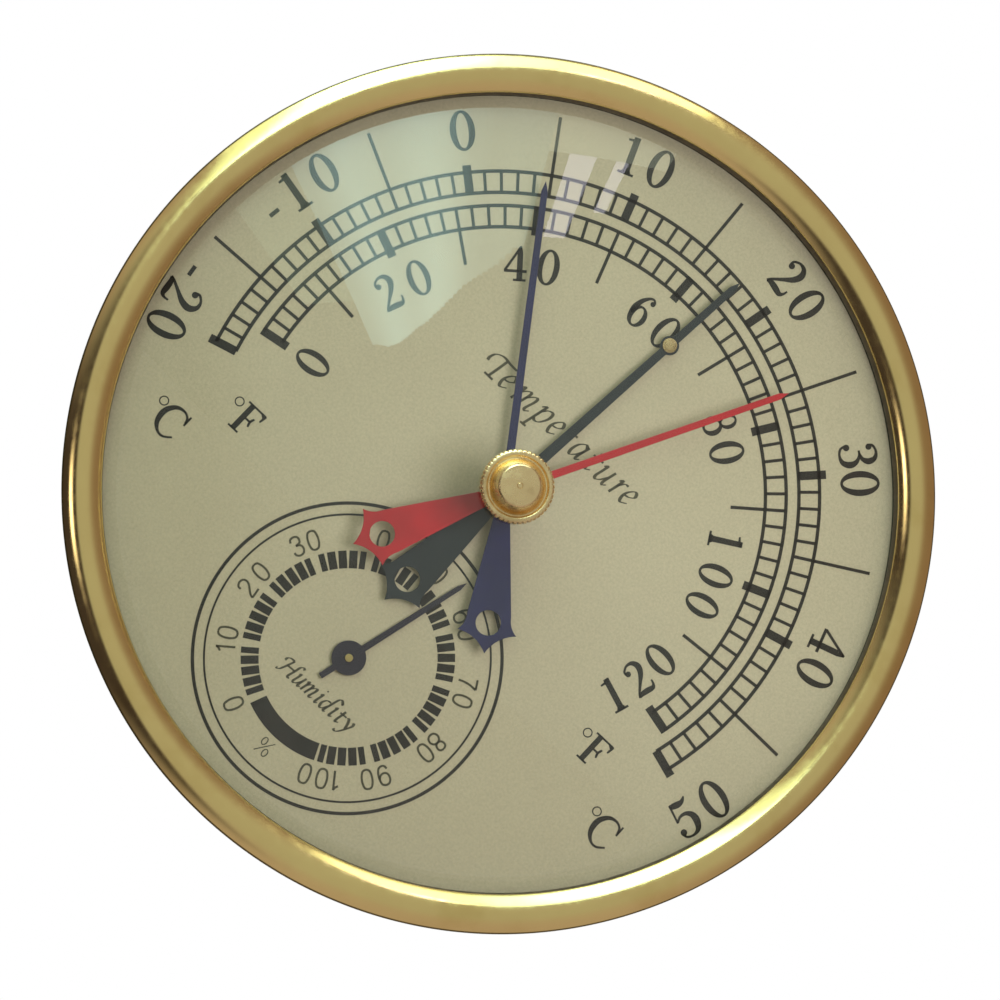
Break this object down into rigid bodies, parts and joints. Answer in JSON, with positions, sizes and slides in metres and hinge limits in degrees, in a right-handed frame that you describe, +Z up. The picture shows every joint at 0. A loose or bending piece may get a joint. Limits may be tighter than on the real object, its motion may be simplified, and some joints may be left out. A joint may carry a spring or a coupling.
{
  "type": "dial thermometer and hygrometer",
  "caption": "Round wall instrument with a gold bezel: temperature dial with minimum and maximum memory hands, reset knob on the lens, and a small humidity dial.",
  "frame": {"origin": "where the axis of the temperature hands meets the wall plane, at the centre of the flat back", "axes": "+Y into the wall along the hands' axis, the dial faces -Y, +Z up to the dial's twelve o'clock"},
  "size_m": [0.132, 0.0335, 0.132],
  "materials": {
    "case_gold": "gold lacquered drawn steel",
    "bezel_gold": "polished gold anodised spinning",
    "clear_lens": "clear moulded acrylic, polished",
    "dial_face": "satin champagne lacquer with printed scales",
    "cover_steel": "matt grey lacquer",
    "screw_steel": "zinc plated",
    "dark_plastic": "black moulded",
    "gasket_rubber": "black",
    "turned_brass": "turned",
    "movement_brass": "stamped sheet",
    "bimetal": "rolled strip",
    "hygro_strip": "rolled strip with a coated face",
    "pointer_black": "satin black",
    "pointer_blue": "satin indigo blue",
    "pointer_red": "satin signal red",
    "pointer_indigo": "satin dark blue",
    "knob_brass": "polished turned brass"
  },
  "bodies": {
    "root": {"case_shell": "case_gold", "bezel": "bezel_gold", "lens": "clear_lens", "dial_plate": "dial_face", "back_cover": "cover_steel", "back_cover_screws": "screw_steel", "keyhole_plate": "screw_steel", "centring_ring": "dark_plastic", "lens_gasket": "gasket_rubber", "temperature_front_bush": "turned_brass", "temperature_bridge": "movement_brass", "temperature_rear_bush": "turned_brass", "temperature_pillars": "turned_brass", "temperature_bridge_screws": "screw_steel", "temperature_regulator": "movement_brass", "bimetal_coil": "bimetal", "temperature_coil_anchor": "turned_brass", "humidity_front_bush": "turned_brass", "humidity_bridge": "movement_brass", "humidity_rear_bush": "turned_brass", "humidity_pillars": "turned_brass", "humidity_bridge_screws": "screw_steel", "humidity_regulator": "movement_brass", "hygroscopic_coil": "hygro_strip", "humidity_coil_anchor": "turned_brass", "knob_bush": "turned_brass", "knob_seal_washer": "gasket_rubber", "knob_bush_nut": "turned_brass"},
    "temperature_hand": {"temperature_spindle": "screw_steel", "temperature_collet": "turned_brass", "temperature_pointer": "pointer_black", "temperature_pointer_hub": "turned_brass", "temperature_pointer_cap": "turned_brass", "drive_pin": "knob_brass"},
    "minimum_hand": {"minimum_pointer": "pointer_blue", "minimum_pointer_hub": "turned_brass"},
    "maximum_hand": {"maximum_pointer": "pointer_red", "maximum_pointer_hub": "turned_brass"},
    "knob": {"reset_knob": "knob_brass", "knob_shaft": "knob_brass", "reset_finger": "screw_steel", "friction_washer": "screw_steel", "shaft_retaining_ring": "screw_steel"},
    "humidity_hand": {"humidity_spindle": "turned_brass", "humidity_collet": "turned_brass", "humidity_pointer": "pointer_indigo", "humidity_pointer_hub": "turned_brass"}
  },
  "joints": [
    {"name": "temperature_hand_turn", "type": "hinge", "parent": "root", "child": "temperature_hand", "pos_m": [0, -0.017, 0], "axis": [0, 1, 0], "range_deg": [-111.3, 101.2], "stiffness_Nm_per_rad": 0.0002},
    {"name": "minimum_hand_turn", "type": "hinge", "parent": "root", "child": "minimum_hand", "pos_m": [0, -0.017, 0], "axis": [0, 1, 0], "range_deg": [-70.5, 142]},
    {"name": "maximum_hand_turn", "type": "hinge", "parent": "root", "child": "maximum_hand", "pos_m": [0, -0.017, 0], "axis": [0, 1, 0], "range_deg": [-133.7, 78.8]},
    {"name": "reset_knob_turn", "type": "hinge", "parent": "root", "child": "knob", "pos_m": [0, -0.017, 0], "axis": [0, 1, 0], "range_deg": [-120, 120]},
    {"name": "humidity_hand_turn", "type": "hinge", "parent": "root", "child": "humidity_hand", "pos_m": [0, -0.017, -0.03435], "axis": [0, 1, 0], "range_deg": [-170.5, 141.5], "stiffness_Nm_per_rad": 0.00002}
  ]
}
